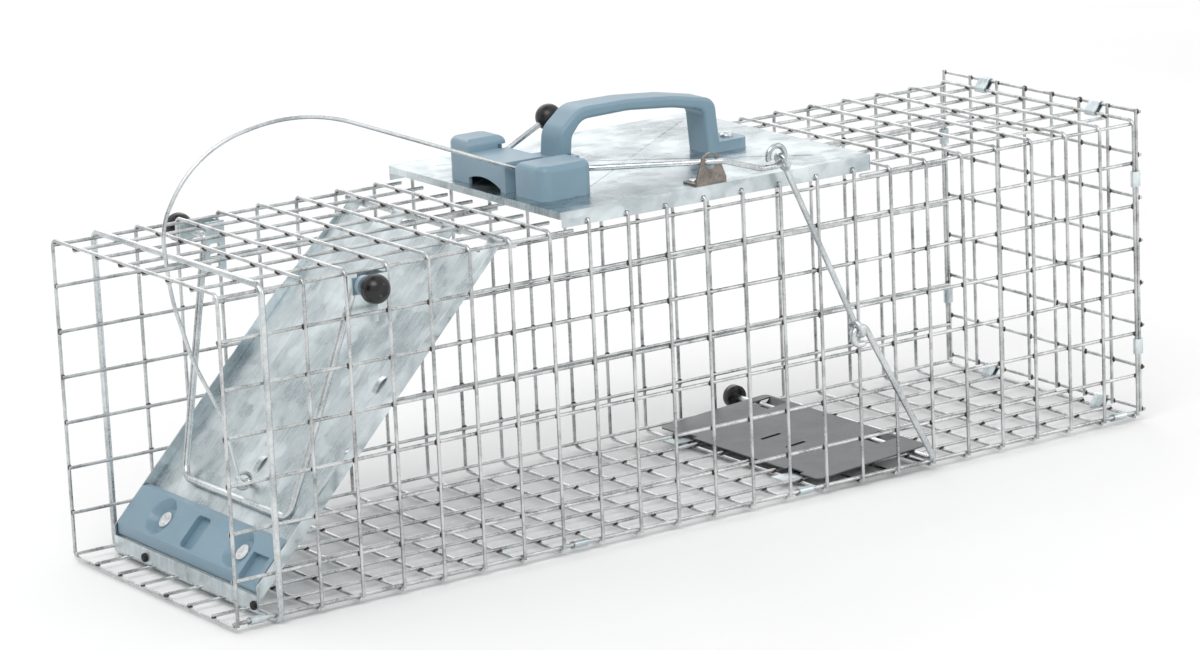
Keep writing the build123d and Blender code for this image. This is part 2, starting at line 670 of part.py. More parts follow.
with BuildPart() as lock_bar:
    bent_rod([(lock_x, -pin_end_y, lock_z), (lock_x, lock_top_y[0], lock_z),
              (lock_foot.X, lock_low_y[0], lock_foot.Z), (lock_foot.X, lock_low_y[1], lock_foot.Z),
              (lock_x, lock_top_y[1], lock_z), (lock_x, pin_end_y, lock_z)],
             [4.0, 9.0, 9.0, 4.0], lock_d)
finish(lock_bar, "lock_bar")

with BuildPart() as lock_bar_caps:
    with Locations((lock_x, -ball_y, lock_z), (lock_x, ball_y, lock_z)):
        Sphere(cap_d / 2)
    with Locations(Location((lock_x, 0, lock_z), (90, 0, 0))):
        Cylinder(lock_d / 2, 2 * pin_end_y, mode=Mode.SUBTRACT)
finish(lock_bar_caps, "lock_bar_caps")

with BuildPart() as lock_bar_bushes:
    for y in (-bush_y0 - bush_w, bush_y0):
        straight_rods("Y", [lambda start: (lock_x, start, lock_z)], y, y + bush_w, bush_d)
    with Locations(Location((lock_x, 0, lock_z), (90, 0, 0))):
        Cylinder(pin_bore_r, 2 * (bush_y0 + bush_w + 1.0), mode=Mode.SUBTRACT)
finish(lock_bar_bushes, "lock_bar_bushes")

# brackets: a web inside the wall, a flange through the mesh, a strap outside with the pin's hole
flange_x = wire_x(4) - wire_d / 2 - 0.4       # rear face of the flange, in front of a cross wire
bracket_top = lock_z + 5.4
bracket_low = lock_z - 23.6
leg_lean = (lock_x - lock_foot.X) / (lock_z - lock_foot.Z)
leg_room = lock_d / 2 + 1.3                   # web's front edge stays this far behind the leg
tab_x0 = lock_x - 6.4
strap_h = 9.2


def bracket(side):
    """One lock bar bracket on the side wall, in the current part."""
    with BuildSketch(Plane.XZ.offset(-side * lock_web_y + (0 if side > 0 else -bracket_t))) as web:
        with BuildLine():
            Polyline((flange_x, bracket_low), (flange_x, bracket_top), (lock_x + leg_room, bracket_top),
                     (lock_x + leg_room, lock_z),
                     (lock_x + leg_room - leg_lean * (lock_z - bracket_low), bracket_low),
                     (flange_x, bracket_low))
        make_face()
    extrude(web.sketch, amount=bracket_t)
    y_in = min(side * (lock_web_y - bracket_t), side * (strap_y0 + bracket_t))
    y_out = max(side * (lock_web_y - bracket_t), side * (strap_y0 + bracket_t))
    box_between(flange_x - bracket_t, flange_x, y_in, y_out, lock_z - 4.6, lock_z + 4.6)
    box_between(flange_x - bracket_t, flange_x, min(side * (lock_web_y - bracket_t), side * lock_web_y),
                max(side * (lock_web_y - bracket_t), side * lock_web_y), bracket_low, bracket_top)
    box_between(tab_x0, flange_x, min(side * strap_y0, side * (strap_y0 + bracket_t)),
                max(side * strap_y0, side * (strap_y0 + bracket_t)), lock_z - 4.6, lock_z - 4.6 + strap_h)
    with Locations(Location((lock_x, side * (strap_y0 + bracket_t / 2), lock_z), (90, 0, 0))):
        Cylinder(pin_bore_r, 2 * bracket_t, mode=Mode.SUBTRACT)


with BuildPart() as lock_bar_bracket_near:
    bracket(-1)
finish(lock_bar_bracket_near, "lock_bar_bracket_near")

with BuildPart() as lock_bar_bracket_far:
    bracket(1)
    # three slots in the far web
    with BuildSketch(Plane.XZ.offset(-lock_web_y + 2.0)) as slots:
        for z in (lock_z - 19.0, lock_z - 13.5, lock_z - 8.0):
            with Locations((flange_x - 6.4, z)):
                SlotOverall(7.0, 2.4)
    extrude(slots.sketch, amount=-6 * bracket_t, mode=Mode.SUBTRACT)
finish(lock_bar_bracket_far, "lock_bar_bracket_far")

# =====================================================================
# lever: cross shaft with a latch cam, hand rod and knob, and the lift wire
# =====================================================================
with BuildPart() as lever_shaft:
    straight_rods("Y", [lambda y: (shaft_x, y, shaft_z)], shaft_y0, shaft_y1, shaft_d)
finish(lever_shaft, "lever_shaft")

cam_d = 9.2
cam_y0 = shaft_y0 + 0.5
cam_w = 8.0
with BuildPart() as latch_cam:
    straight_rods("Y", [lambda y: (shaft_x, y, shaft_z)], cam_y0, cam_y0 + cam_w, cam_d)
    with Locations(Location((shaft_x, cam_y0 + cam_w / 2, shaft_z), (90, 0, 0))):
        Cylinder(shaft_d / 2, 2 * cam_w, mode=Mode.SUBTRACT)
    # notch that the trip rod's tip drops behind
    box_between(shaft_x + cam_d / 2 - 1.6, shaft_x + cam_d / 2 + 1.0, cam_y0 - 1.0, cam_y0 + cam_w + 1.0,
                shaft_z - 5.0, shaft_z - 1.2, Mode.SUBTRACT)
finish(latch_cam, "latch_cam")

knob_d = 15.0
knob_x = shaft_x + 38.0
knob_z = shaft_z + 18.6
knob_plane = Plane(origin=(shaft_x, lever_y, shaft_z), z_dir=(knob_x - shaft_x, 0, knob_z - shaft_z))
knob_reach = math.hypot(knob_x - shaft_x, knob_z - shaft_z)
with BuildPart() as lever_rod:
    with BuildSketch(knob_plane) as lever_round:
        Circle(rod_d / 2)
    extrude(lever_round.sketch, amount=knob_reach)
    with Locations(Location((shaft_x, lever_y, shaft_z), (90, 0, 0))):
        Cylinder(shaft_d / 2, 4 * rod_d, mode=Mode.SUBTRACT)
finish(lever_rod, "lever_rod")

with BuildPart() as lever_knob:
    with Locations((knob_x, lever_y, knob_z)):
        Sphere(knob_d / 2)
    with BuildSketch(knob_plane) as knob_bore:
        Circle(rod_d / 2)
    extrude(knob_bore.sketch, amount=knob_reach, mode=Mode.SUBTRACT)
finish(lever_knob, "lever_knob")

lift_plane = Plane(origin=(shaft_x, slot_y, 0), x_dir=(-1, lift_slope, 0), z_dir=(lift_slope, 1, 0))
lift_stretch = math.hypot(1, lift_slope)
lift_eye_r = (shaft_d + lift_d) / 2 - 0.05
# the ring sits this far beyond the staple's pin, so that it never binds on the way up
lift_slack = 1.0
pull = Vector(staple_at.X - shaft_x, 0, staple_at.Z - shaft_z).normalized()
lift_ring_x = staple_at.X + lift_slack * pull.X
lift_ring_z = staple_at.Z + lift_slack * pull.Z


def lift_at(x, z):
    return ((shaft_x - x) * lift_stretch, z)


with BuildPart() as lift_wire:
    ring(lift_plane, (0, shaft_z), lift_eye_r, 90, 300, lift_d)
    with BuildLine(lift_plane) as lift_run:
        FilletPolyline(
            (0, shaft_z + lift_eye_r), lift_at(shaft_x - 12.0, shaft_z + lift_eye_r), lift_at(-205.0, 252.0),
            lift_at(-268.0, 238.0), lift_at(-289.5, 200.0), lift_at(-286.5, 161.8),
            lift_at(-276.5, 124.8), lift_at(-261.5, 92.0), lift_at(lift_ring_x - 2.5, lift_ring_z + 3.5),
            radius=[10.0, 98.0, 66.0, 38.0, 110.0, 100.0, 12.0])
    with BuildSketch(Plane(origin=lift_run.line @ 0, z_dir=lift_run.line % 0)) as lift_round:
        Circle(lift_d / 2)
    sweep(lift_round.sketch, path=lift_run.line)
    ring(lift_plane, lift_at(lift_ring_x, lift_ring_z), lift_ring_r, 60, 330, lift_d)
finish(lift_wire, "lift_wire")

# =====================================================================
# trip linkage: trip rod through the ear, link rod, treadle
# =====================================================================
outside = Plane.XZ.offset(-outside_y)
eye_x = 43.4
eye_r = 5.6
eye_low_z = shaft_z - 4.5
eye_z = eye_low_z + eye_r
trip_y = cam_y0 + cam_w / 2 + 0.5
trip_tip_x = shaft_x + cam_d / 2 + 1.9

with BuildPart() as trip_rod:
    bent_rod([(trip_tip_x, trip_y, shaft_z), (shaft_x + 22.0, trip_y, shaft_z),
              (ear_x + 6.0, ear_y - 4.8, ear_z + 0.1), (ear_x + 26.5, outside_y, eye_low_z),
              (eye_x, outside_y, eye_low_z)], [8.0, 8.0, 8.0], rod_d)
    ring(outside, (eye_x, eye_z), eye_r, -90, 290, rod_d)
finish(trip_rod, "trip_rod")

hook_up_r = 4.4
hook_low_r = 4.6
elbow_r = 5.0
arm_len = math.hypot(axle_x - elbow_x, elbow_z - axle_z)
link_up_x = eye_x + eye_r * math.cos(math.radians(-45))
link_up_z = eye_z + eye_r * math.sin(math.radians(-45))
link_tilt = math.atan2(elbow_x - link_up_x, link_up_z - elbow_z)
link_low_x = elbow_x - elbow_r * math.sin(link_tilt)
link_low_z = elbow_z + elbow_r * math.cos(link_tilt)
link_len = math.hypot(link_low_x - link_up_x, link_up_z - link_low_z)
# x across the wall, y down the link
link_plane = Plane(origin=(link_up_x, outside_y, link_up_z), x_dir=(0, 1, 0),
                   z_dir=(math.cos(link_tilt), 0, math.sin(link_tilt)))
down = -1 if link_plane.y_dir.Z > 0 else 1

with BuildPart() as link_rod:
    ring(link_plane, (0, 0), hook_up_r, 90 * down - 40, 330, rod_d)
    ring(link_plane, (0, down * link_len), hook_low_r, -90 * down - 40, 330, rod_d)
    shaft_start = Plane(origin=link_plane.from_local_coords(Vector(0, down * hook_up_r, 0)),
                        z_dir=link_plane.y_dir * down)
    with BuildSketch(shaft_start) as link_round:
        Circle(rod_d / 2)
    extrude(link_round.sketch, amount=link_len - hook_up_r - hook_low_r)
finish(link_rod, "link_rod")

# the arm leaves the axle and meets the elbow's ring at a tangent
to_elbow = math.atan2(elbow_z - axle_z, elbow_x - axle_x)
arm_deg = math.degrees(to_elbow) - math.degrees(math.asin(elbow_r / arm_len))
touch_deg = arm_deg - 90.0
touch_x = elbow_x + elbow_r * math.cos(math.radians(touch_deg))
touch_z = elbow_z + elbow_r * math.sin(math.radians(touch_deg))
axle_end_y = half_wide + 7.0

with BuildPart() as treadle_rod:
    bent_rod([(axle_x, axle_end_y, axle_z), (axle_x, outside_y, axle_z), (touch_x, outside_y, touch_z)],
             5.0, treadle_d)
    ring(outside, (elbow_x, elbow_z), elbow_r, touch_deg, 270, treadle_d)
finish(treadle_rod, "treadle_rod")

axle_cap_y = half_wide + wire_d / 2 + 3.6
with BuildPart() as treadle_rod_cap:
    straight_rods("Y", [lambda y: (axle_x, y, axle_z)], axle_cap_y, axle_cap_y + 6.5, 14.0)
    fillet(treadle_rod_cap.faces().sort_by(Axis.Y)[-1].edges(), 3.0)
    with Locations(Location((axle_x, axle_cap_y, axle_z), (90, 0, 0))):
        Cylinder(treadle_d / 2, 2 * (axle_end_y - axle_cap_y), mode=Mode.SUBTRACT)
finish(treadle_rod_cap, "treadle_rod_cap")

# treadle pan: flat sheet with two lanced straps that hold it on the axle
pan_t = 0.8
pan_half_w = 78.0
pan_x0 = 78.0
pan_x1 = axle_x + 9.5
pan_tilt_deg = 4.1
pan_over = axle_z + treadle_d / 2 + 0.1       # underside of the sheet above the axle
strap_low = axle_z - treadle_d / 2 - 0.1 - pan_t
strap_w = 18.0
strap_at = (62.0, -45.0)
pan_plane = Plane(origin=(axle_x, 0, pan_over), x_dir=(math.cos(math.radians(pan_tilt_deg)), 0,
                                                       math.sin(math.radians(pan_tilt_deg))),
                  z_dir=(-math.sin(math.radians(pan_tilt_deg)), 0, math.cos(math.radians(pan_tilt_deg))))
pan_front = pan_x0 - axle_x
pan_rear = pan_x1 - axle_x
strap_half = 7.5
strap_x0 = axle_x - strap_half
strap_x1 = axle_x + strap_half

with BuildPart() as treadle_pan:
    with BuildSketch(pan_plane) as pan_sheet:
        with Locations(((pan_front + pan_rear) / 2, 0)):
            RectangleRounded(pan_rear - pan_front, 2 * pan_half_w, 4.0)
        for y in (50.0, -54.0):
            with Locations((pan_front, y)):
                Rectangle(6.0, 14.0, mode=Mode.SUBTRACT)
        for y in strap_at:
            with Locations((0, y)):
                Rectangle(2 * strap_half, strap_w, mode=Mode.SUBTRACT)
        for y in (8.0, -16.0):
            with Locations((pan_front / 2 - 4.0, y)):
                SlotOverall(14.0, 3.0, mode=Mode.SUBTRACT)
    extrude(pan_sheet.sketch, amount=pan_t)
    for y in strap_at:
        with BuildSketch(Plane.XZ.offset(-(y + strap_w / 2))) as strap:
            with BuildLine():
                Polyline((strap_x0 - 1.0, pan_over - 0.6), (strap_x0 - 1.0, pan_over + 0.2),
                         (strap_x0, pan_over + 0.2), (axle_x - 3.0, strap_low + pan_t),
                         (axle_x + 3.0, strap_low + pan_t), (strap_x1, pan_over + 1.3),
                         (strap_x1 + 1.0, pan_over + 1.3), (strap_x1 + 1.0, pan_over + 0.5),
                         (strap_x1 + 0.4, pan_over + 0.5), (axle_x + 3.5, strap_low),
                         (axle_x - 3.5, strap_low), (strap_x0 - 0.4, pan_over - 0.6),
                         (strap_x0 - 1.0, pan_over - 0.6))
            make_face()
        extrude(strap.sketch, amount=strap_w)
finish(treadle_pan, "treadle_pan")

# strips folded round a floor wire, which the front of the pan comes down on
stop_w = 12.0
with BuildPart() as pan_stop_clips:
    for y in (51.0, -55.0):
        with BuildSketch(Plane.XZ.offset(-(y + stop_w / 2))) as stop:
            with Locations((wire_x(15), floor_z)):
                Circle(wire_d / 2 + clip_room + clip_t)
            with Locations((wire_x(15) + 3.0, floor_z + wire_d / 2 + clip_room + clip_t / 2)):
                Rectangle(26.0, clip_t)
            with Locations((wire_x(15), floor_z)):
                Circle(wire_d / 2 + clip_room, mode=Mode.SUBTRACT)
        extrude(stop.sketch, amount=stop_w)
finish(pan_stop_clips, "pan_stop_clips")
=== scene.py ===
import bpy
import bmesh
import json
import math
import random
from mathutils import Matrix, Vector, noise


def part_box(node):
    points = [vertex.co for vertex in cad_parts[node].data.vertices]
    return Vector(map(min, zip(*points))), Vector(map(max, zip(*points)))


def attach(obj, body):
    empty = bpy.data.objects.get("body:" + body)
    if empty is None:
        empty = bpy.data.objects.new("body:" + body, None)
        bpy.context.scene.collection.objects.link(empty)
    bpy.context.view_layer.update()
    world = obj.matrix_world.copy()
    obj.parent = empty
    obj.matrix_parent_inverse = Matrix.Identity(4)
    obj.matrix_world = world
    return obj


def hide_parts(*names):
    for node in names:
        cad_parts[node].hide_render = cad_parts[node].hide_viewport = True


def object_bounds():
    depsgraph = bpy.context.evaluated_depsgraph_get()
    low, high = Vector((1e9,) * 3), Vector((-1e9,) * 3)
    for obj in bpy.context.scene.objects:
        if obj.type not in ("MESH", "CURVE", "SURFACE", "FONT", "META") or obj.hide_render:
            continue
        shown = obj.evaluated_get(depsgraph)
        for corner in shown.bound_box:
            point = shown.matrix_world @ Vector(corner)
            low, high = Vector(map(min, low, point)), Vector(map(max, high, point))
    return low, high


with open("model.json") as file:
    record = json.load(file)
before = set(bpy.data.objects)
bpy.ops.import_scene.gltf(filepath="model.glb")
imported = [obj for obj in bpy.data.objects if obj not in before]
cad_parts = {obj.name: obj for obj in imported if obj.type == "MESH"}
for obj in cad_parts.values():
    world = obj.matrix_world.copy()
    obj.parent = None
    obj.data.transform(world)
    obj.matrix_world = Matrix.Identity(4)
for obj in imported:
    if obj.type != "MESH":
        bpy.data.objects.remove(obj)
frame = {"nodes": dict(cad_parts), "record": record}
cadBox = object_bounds()
nodes = frame["nodes"]
scene = bpy.context.scene
print("frame loaded:", len(nodes), "nodes")

# values a user may change, metres unless the name says otherwise
cage = {"cell": 0.0254, "cellsLong": 24, "cellsWide": 7, "cellsHigh": 7, "wire": 0.002, "floorZ": 0.0026,
        "step": 0.00175, "plateFrom": 9, "plateTo": 16, "hoopAt": 1}
weld = {"size": 0.00168, "smallest": 0.85, "largest": 1.12, "flat": 0.80, "seed": 4,
        "lumpDepth": 0.28, "lumpsPerMetre": 900, "lumpShift": 9, "insideBox": 0.0001}
light = {"world": 0.9, "key": 24.0, "fill": 9.0, "rim": 12.0, "card": "#2B2D2F"}


# sRGB hex to a linear colour with alpha
def linear(hexColour):
    parts = [int(hexColour[i:i + 2], 16) / 255 for i in (1, 3, 5)]
    return tuple(p / 12.92 if p <= 0.04045 else ((p + 0.055) / 1.055) ** 2.4 for p in parts) + (1.0,)


# one node, with its settings by name or socket number and its links by socket
def addNode(tree, kind, settings=None, links=None, stops=None):
    node = tree.nodes.new(kind)
    for key, value in (settings or {}).items():
        if isinstance(key, int) or key in node.inputs:
            node.inputs[key].default_value = value
        else:
            setattr(node, key, value)
    if stops:
        ramp = node.color_ramp
        ramp.elements[0].position, ramp.elements[0].color = stops[0]
        ramp.elements[1].position, ramp.elements[1].color = stops[-1]
        for position, colour in stops[1:-1]:
            ramp.elements.new(position).color = colour
    for key, source in (links or {}).items():
        tree.links.new(source, node.inputs[key])
    return node


def startMaterial(name, **fixed):
    mat = bpy.data.materials.new(name)
    mat.use_nodes = True
    tree = mat.node_tree
    tree.nodes.clear()
    shader = addNode(tree, "ShaderNodeBsdfPrincipled", fixed)
    out = addNode(tree, "ShaderNodeOutputMaterial")
    tree.links.new(shader.outputs[0], out.inputs[0])
    coord = addNode(tree, "ShaderNodeTexCoord").outputs["Object"]
    return mat, tree, shader, coord


# texture scale that makes one feature this many millimetres
def perSize(sizeMm):
    return 1000.0 / sizeMm


def stretched(tree, coord, scale):
    return addNode(tree, "ShaderNodeMapping", {"Scale": scale}, {"Vector": coord}).outputs[0]


def grey(value):
    return (value, value, value, 1.0)


def zincSheet(name, pale, dark, spangleMm):
    # galvanised sheet: faint frosty crystals, fine rolling streaks, broad dull blotches
    mat, tree, shader, coord = startMaterial(name, Metallic=1.0)
    warp = addNode(tree, "ShaderNodeTexNoise", {"Scale": perSize(6), "Detail": 3.0}, {"Vector": coord})
    bent = addNode(tree, "ShaderNodeVectorMath", {"operation": "MULTIPLY_ADD", 1: (0.006, 0.006, 0.006)},
                   {0: warp.outputs["Color"], 2: coord})
    spangle = addNode(tree, "ShaderNodeTexVoronoi", {"Scale": perSize(spangleMm), "feature": "SMOOTH_F1",
                                                     "Smoothness": 0.35}, {"Vector": bent.outputs[0]})
    patch = addNode(tree, "ShaderNodeSeparateColor", links={0: spangle.outputs["Color"]})
    blotch = addNode(tree, "ShaderNodeTexNoise", {"Scale": perSize(45), "Detail": 6.0, "Roughness": 0.6},
                     {"Vector": coord})
    streak = addNode(tree, "ShaderNodeTexNoise", {"Scale": perSize(0.9), "Detail": 4.0},
                     {"Vector": stretched(tree, coord, (0.03, 1.0, 0.05))})
    fine = addNode(tree, "ShaderNodeTexNoise", {"Scale": perSize(0.7), "Detail": 2.0}, {"Vector": coord})
    mixed = addNode(tree, "ShaderNodeMath", {"operation": "MULTIPLY_ADD", 1: 0.16},
                    {0: patch.outputs[0], 2: blotch.outputs["Fac"]})
    mixedStreak = addNode(tree, "ShaderNodeMath", {"operation": "MULTIPLY_ADD", 1: 0.30},
                          {0: streak.outputs["Fac"], 2: mixed.outputs[0]})
    tone = addNode(tree, "ShaderNodeValToRGB", stops=[(0.50, linear(dark)), (0.92, linear(pale))],
                   links={0: mixedStreak.outputs[0]})
    # painted shade: ambient occlusion darkens the colour in corners and under lips
    shade = addNode(tree, "ShaderNodeAmbientOcclusion", {"Distance": 0.004, "samples": 6})
    paintedCornerShade = addNode(tree, "ShaderNodeValToRGB", stops=[(0.25, grey(0.66)), (0.7, grey(1.0))],
                   links={0: shade.outputs["AO"]})
    # the painted corner shade multiplies the sheet's tone
    final = addNode(tree, "ShaderNodeMix", {"data_type": "RGBA", "blend_type": "MULTIPLY", 0: 1.0},
                    {6: tone.outputs[0], 7: paintedCornerShade.outputs[0]})
    rough = addNode(tree, "ShaderNodeMapRange", {"From Min": 0.5, "From Max": 1.0, "To Min": 0.22,
                                                 "To Max": 0.40},
                    {"Value": mixedStreak.outputs[0]})
    height = addNode(tree, "ShaderNodeMath", {"operation": "MULTIPLY_ADD", 1: 0.6},
                     {0: streak.outputs["Fac"], 2: fine.outputs["Fac"]})
    bump = addNode(tree, "ShaderNodeBump", {"Strength": 0.10, "Distance": 0.0003},
                   {"Height": height.outputs[0]})
    # the sheet is never dead flat: long shallow waves bend what it reflects
    wave = addNode(tree, "ShaderNodeTexNoise", {"Scale": perSize(60), "Detail": 1.0}, {"Vector": coord})
    waveBump = addNode(tree, "ShaderNodeBump", {"Strength": 0.35, "Distance": 0.0022},
                       {"Height": wave.outputs["Fac"], "Normal": bump.outputs[0]})
    tree.links.new(final.outputs[2], shader.inputs["Base Color"])
    tree.links.new(rough.outputs[0], shader.inputs["Roughness"])
    tree.links.new(waveBump.outputs[0], shader.inputs["Normal"])
    return mat


def platedRod(name, pale, dark, roughLow, roughHigh, blotchMm):
    # drawn wire under zinc: soft mottling and fine lengthwise scratches
    mat, tree, shader, coord = startMaterial(name, Metallic=1.0)
    blotch = addNode(tree, "ShaderNodeTexNoise", {"Scale": perSize(blotchMm), "Detail": 6.0,
                                                 "Roughness": 0.6}, {"Vector": coord})
    speck = addNode(tree, "ShaderNodeTexNoise", {"Scale": perSize(1.3), "Detail": 3.0}, {"Vector": coord})
    both = addNode(tree, "ShaderNodeMath", {"operation": "MULTIPLY_ADD", 1: 0.35},
                   {0: speck.outputs["Fac"], 2: blotch.outputs["Fac"]})
    tone = addNode(tree, "ShaderNodeValToRGB", stops=[(0.46, linear(dark)), (0.78, linear(pale))],
                   links={0: both.outputs[0]})
    rough = addNode(tree, "ShaderNodeMapRange", {"From Min": 0.4, "From Max": 0.9, "To Min": roughLow,
                                                 "To Max": roughHigh}, {"Value": both.outputs[0]})
    bump = addNode(tree, "ShaderNodeBump", {"Strength": 0.25, "Distance": 0.0002},
                   {"Height": speck.outputs["Fac"]})
    tree.links.new(tone.outputs[0], shader.inputs["Base Color"])
    tree.links.new(rough.outputs[0], shader.inputs["Roughness"])
    tree.links.new(bump.outputs[0], shader.inputs["Normal"])
    return mat


def moulded(name, colour, worn, roughness, grainMm, strength):
    # moulded plastic: fine spark-eroded grain, lighter scuffed edges, faint cloudiness
    mat, tree, shader, coord = startMaterial(name, IOR=1.49)
    cloud = addNode(tree, "ShaderNodeTexNoise", {"Scale": perSize(24), "Detail": 4.0}, {"Vector": coord})
    grain = addNode(tree, "ShaderNodeTexNoise", {"Scale": perSize(grainMm), "Detail": 3.0},
                    {"Vector": coord})
    edge = addNode(tree, "ShaderNodeNewGeometry")
    edgeMask = addNode(tree, "ShaderNodeMapRange", {"From Min": 0.52, "From Max": 0.62, "To Min": 0.0,
                                                    "To Max": 0.35},
                       {"Value": edge.outputs["Pointiness"]})
    tone = addNode(tree, "ShaderNodeMix", {"data_type": "RGBA", 6: linear(colour), 7: linear(worn)},
                   {0: edgeMask.outputs[0]})
    cloudy = addNode(tree, "ShaderNodeValToRGB", stops=[(0.3, grey(0.90)), (0.7, grey(1.0))],
                     links={0: cloud.outputs["Fac"]})
    final = addNode(tree, "ShaderNodeMix", {"data_type": "RGBA", "blend_type": "MULTIPLY", 0: 1.0},
                    {6: tone.outputs[2], 7: cloudy.outputs[0]})
    rough = addNode(tree, "ShaderNodeMapRange", {"From Min": 0.3, "From Max": 0.7,
                                                 "To Min": roughness - 0.06, "To Max": roughness + 0.08},
                    {"Value": cloud.outputs["Fac"]})
    bump = addNode(tree, "ShaderNodeBump", {"Strength": strength, "Distance": 0.0002},
                   {"Height": grain.outputs["Fac"]})
    tree.links.new(final.outputs[2], shader.inputs["Base Color"])
    tree.links.new(rough.outputs[0], shader.inputs["Roughness"])
    tree.links.new(bump.outputs[0], shader.inputs["Normal"])
    return mat


finishes = {
    # hot-dipped wire: soft grey shine broken by dull patches
    "zinc_wire": platedRod("galvanisedWire", "#D6D8D8", "#8E9192", 0.22, 0.38, 14),
    # hot-dipped sheet: frosty bluish crystals with rolling streaks
    "zinc_sheet": zincSheet("galvanisedSheet", "#E2EAEC", "#9DA9AE", 9.0),
    # electroplated rod: brighter and more even than the mesh
    "zinc_rod": platedRod("brightZincRod", "#DADEDF", "#9AA0A3", 0.20, 0.36, 30),
    # unplated pressed steel: warm brown-grey, duller than the zinc
    "ear_steel": platedRod("bareSteel", "#98918A", "#6E6862", 0.30, 0.50, 8),
    # moulded ABS: satin blue-grey with paler rubbed edges
    "blue_grey_plastic": moulded("blueGreyPlastic", "#7C98A8", "#A3B8C4", 0.34, 0.5, 0.16),
    # moulded phenolic: hard black gloss
    "black_plastic": moulded("blackPhenolic", "#141415", "#2A2A2C", 0.20, 0.9, 0.04),
    # moulded nylon: black with a softer shine than the balls
    "dark_knob": moulded("darkKnobPlastic", "#1D1E20", "#38393C", 0.30, 0.9, 0.06),
    # phosphated steel: matt slate grey, mottled
    "dark_pan": platedRod("phosphatedSteel", "#77797B", "#55585A", 0.34, 0.52, 22),
    # upset aluminium: the palest metal here
    "rivet_aluminium": platedRod("rivetAluminium", "#F2F3F3", "#C9CBCB", 0.24, 0.40, 3),
    # moulded rubber: matt black, almost no highlight
    "bumper_rubber": moulded("bumperRubber", "#121212", "#242424", 0.62, 0.4, 0.3),
}
# burnt scale where the weld took the zinc off: dark brown dots
weldScale = platedRod("weldScale", "#6A5F55", "#2C2622", 0.45, 0.70, 1.6)

for part in frame["record"]["subparts"]:
    obj = nodes[part["node"]]
    obj.data.materials.clear()
    obj.data.materials.append(finishes[part["material_slot"]])
print("finishes set:", len(finishes))


def meshObject(name, bm, material, body, smooth=True):
    mesh = bpy.data.meshes.new(name)
    bm.to_mesh(mesh)
    bm.free()
    mesh.materials.append(material)
    for face in mesh.polygons:
        face.use_smooth = smooth
    obj = bpy.data.objects.new(name, mesh)
    scene.collection.objects.link(obj)
    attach(obj, body)
    return obj


# turns (radius, along) pairs round an axis through origin
def lathe(bm, profile, origin, axis, count=40):
    toAxis = Vector((0, 0, 1)).rotation_difference(Vector(axis)).to_matrix().to_4x4()
    place = Matrix.Translation(origin) @ toAxis
    rows = []
    for radius, along in profile:
        if radius < 1e-6:
            rows.append([bm.verts.new(place @ Vector((0, 0, along)))])
        else:
            rows.append([bm.verts.new(place @ Vector((radius * math.cos(2 * math.pi * k / count),
                                                      radius * math.sin(2 * math.pi * k / count), along)))
                         for k in range(count)])
    for low, high in zip(rows, rows[1:]):
        for k in range(count):
            n = (k + 1) % count
            corners = [low[k % len(low)], low[n % len(low)], high[n % len(high)], high[k % len(high)]]
            unique = list(dict.fromkeys(corners))
            if len(unique) > 2:
                bm.faces.new(unique)


# weld marks where wires cross
random.seed(weld["seed"])
half = cage["cellsWide"] * cage["cell"] / 2
floorZ, step, cell = cage["floorZ"], cage["step"], cage["cell"]
topZ = floorZ + cage["cellsHigh"] * cell


def wireX(i):
    return (i - cage["cellsLong"] / 2) * cell


# a squeezed blob at a crossing; out is the wall's outward direction
def nugget(bm, x, y, z, out):
    size = weld["size"] * random.uniform(weld["smallest"], weld["largest"])
    turned = Vector((0, 0, 1)).rotation_difference(Vector(out)).to_matrix().to_4x4()
    shape = Matrix.Diagonal((1.0, 1.0, weld["flat"], 1.0))
    made = bmesh.ops.create_icosphere(bm, subdivisions=2, radius=size,
                                      matrix=Matrix.Translation((x, y, z)) @ turned @ shape)
    shift = Vector((random.random(), random.random(), random.random())) * weld["lumpShift"]
    for vert in made["verts"]:
        away = vert.co - Vector((x, y, z))
        vert.co += away * weld["lumpDepth"] * noise.noise(away * weld["lumpsPerMetre"] + shift)
        # a mark stays inside the object's box at the mouth and the closed end
        vert.co.x = min(max(vert.co.x, cadBox[0][0] + weld["insideBox"]), cadBox[1][0] - weld["insideBox"])


bm = bmesh.new()
for i in range(cage["cellsLong"] + 1):
    if i == cage["hoopAt"]:
        continue
    x = wireX(i)
    for k in range(1, cage["cellsHigh"]):
        nugget(bm, x, -half + step / 2, floorZ + k * cell, (0, -1, 0))
        nugget(bm, x, half - step / 2, floorZ + k * cell, (0, 1, 0))
    for j in range(1, cage["cellsWide"]):
        y = (j - cage["cellsWide"] / 2) * cell
        nugget(bm, x, y, floorZ + step / 2, (0, 0, -1))
        if not cage["plateFrom"] <= i <= cage["plateTo"]:
            nugget(bm, x, y, topZ - step / 2, (0, 0, 1))
low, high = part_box("end_panel_cross_wires")
panelLow = low[2] + cage["wire"] / 2
for j in range(cage["cellsWide"] + 1):
    for k in range(cage["cellsHigh"] + 1):
        nugget(bm, high[0] - cage["wire"] / 2 - step / 2, (j - cage["cellsWide"] / 2) * cell,
               panelLow + k * cell, (1, 0, 0))
weldMarks = meshObject("weldMarks", bm, weldScale, "cage")
print("weld marks:", len(weldMarks.data.polygons))

# ball caps of the lock bar
def arc(radius, fromDeg, toDeg, count):
    return [(radius * math.sin(math.radians(a)), -radius * math.cos(math.radians(a)))
            for a in (fromDeg + (toDeg - fromDeg) * n / count for n in range(count + 1))]


